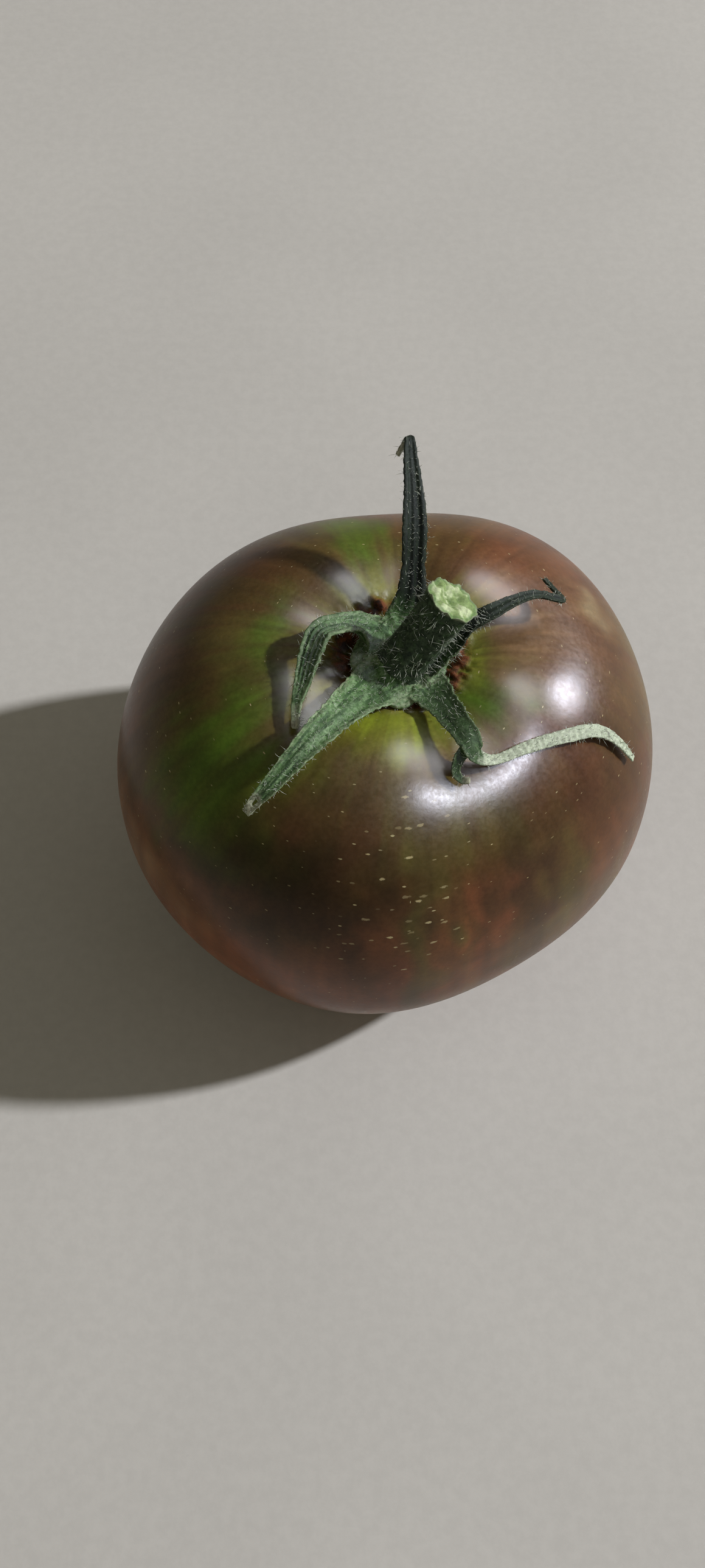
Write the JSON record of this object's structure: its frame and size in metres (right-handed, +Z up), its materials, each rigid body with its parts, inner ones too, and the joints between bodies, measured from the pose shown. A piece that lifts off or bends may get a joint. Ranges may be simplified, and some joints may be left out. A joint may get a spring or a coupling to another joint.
{
  "type": "tomato",
  "caption": "Squat lobed dark tomato standing on its blossom end, with a green calyx of long curling sepals and a leaning cut stalk stub.",
  "frame": {"origin": "middle of the small flat spot that the fruit rests on, at its blossom end", "axes": "+Z up through the stalk end; +X along the fruit's widest direction, the way the stalk stub leans; +Y towards the back sepal"},
  "size_m": [0.071, 0.0665, 0.0649],
  "materials": {
    "skin": "satin tomato skin, brown red with green shoulders and fine pale flecks",
    "leaf": "matt hairy green sepals, dry and pale at the tips",
    "stalk": "matt dark green ridged stalk with a pale fibrous cut"
  },
  "bodies": {
    "root": {"fruit": "skin", "calyx": "leaf", "stalk": "stalk"}
  },
  "joints": []
}
